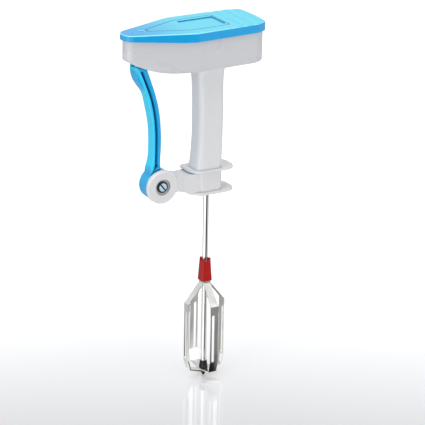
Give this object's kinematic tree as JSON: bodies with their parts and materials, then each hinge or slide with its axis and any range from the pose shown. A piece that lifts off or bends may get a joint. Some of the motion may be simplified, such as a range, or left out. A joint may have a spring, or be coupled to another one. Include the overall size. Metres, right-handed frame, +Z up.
{
  "type": "egg beater",
  "caption": "Squeeze-lever hand egg beater: tapered gear case on a grip column, curved lever, and a geared shaft with crossed serrated and slotted blade loops.",
  "frame": {"origin": "on the beater shaft's axis, at the underside of the lower rest plate", "axes": "+Z up along the beater shaft towards the gear case; +X towards the blunt end of the case, so the nose and the squeeze lever are at -X; -Y is the side with the pivot screw's head"},
  "size_m": [0.1318, 0.055, 0.33],
  "materials": {
    "white_plastic": "smooth moulded, slightly glossy",
    "blue_plastic": "glossy moulded",
    "red_plastic": "glossy moulded",
    "polished_steel": "polished stainless steel",
    "dark_steel": "dark oxide",
    "chrome_hardware": "bright plated",
    "zinc_screws": "zinc plated",
    "steel_pins": "ground steel",
    "gear_nylon": "natural moulded nylon",
    "bush_nylon": "moulded nylon"
  },
  "bodies": {
    "body": {"gear_housing": "white_plastic", "grip_column": "white_plastic", "base_bracket": "white_plastic", "top_cover": "blue_plastic", "pivot_screw": "chrome_hardware", "pivot_nut": "chrome_hardware", "cover_screws": "zinc_screws", "column_screws": "zinc_screws", "base_screws": "zinc_screws", "idler_axle": "steel_pins", "pivot_sleeve": "steel_pins", "pivot_washers": "steel_pins", "return_spring": "steel_pins", "lower_bush": "bush_nylon", "floor_bush": "bush_nylon", "cover_bush": "bush_nylon"},
    "lever": {"squeeze_lever": "blue_plastic", "rack_pin": "steel_pins"},
    "rack": {"drive_rack": "gear_nylon"},
    "idler": {"idler_gear": "gear_nylon"},
    "beater": {"drive_shaft": "polished_steel", "shaft_pinion": "gear_nylon", "retaining_clip": "steel_pins", "thrust_washers": "steel_pins", "beater_hub": "red_plastic", "beater_loop_x": "polished_steel", "beater_loop_y": "polished_steel", "blade_collar": "dark_steel", "tip_nut": "dark_steel"}
  },
  "joints": [
    {"name": "beater_spin", "type": "hinge", "parent": "body", "child": "beater", "pos_m": [0, 0, 0], "axis": [0, 0, -1], "range_deg": [0, 1526.2]},
    {"name": "lever_squeeze", "type": "hinge", "parent": "body", "child": "lever", "pos_m": [-0.05, 0, 0.0133], "axis": [0, 1, 0], "range_deg": [0, 17], "stiffness_Nm_per_rad": 0.6, "springref_deg": -14.32, "deforming": ["return_spring"]},
    {"name": "rack_slide", "type": "slide", "parent": "body", "child": "rack", "axis": [1, 0, 0], "range_m": [0, 0.0349]},
    {"name": "idler_spin", "type": "hinge", "parent": "body", "child": "idler", "pos_m": [-0.0224, 0, 0.13], "axis": [0, 0, 1], "range_deg": [0, 416.3]}
  ],
  "couplings": [
    {"joint": "lever_squeeze", "follows": "beater_spin", "ratio": 0.011138},
    {"joint": "rack_slide", "follows": "beater_spin", "m_per_rad": 0.0013091},
    {"joint": "idler_spin", "follows": "beater_spin", "ratio": 0.27273}
  ]
}
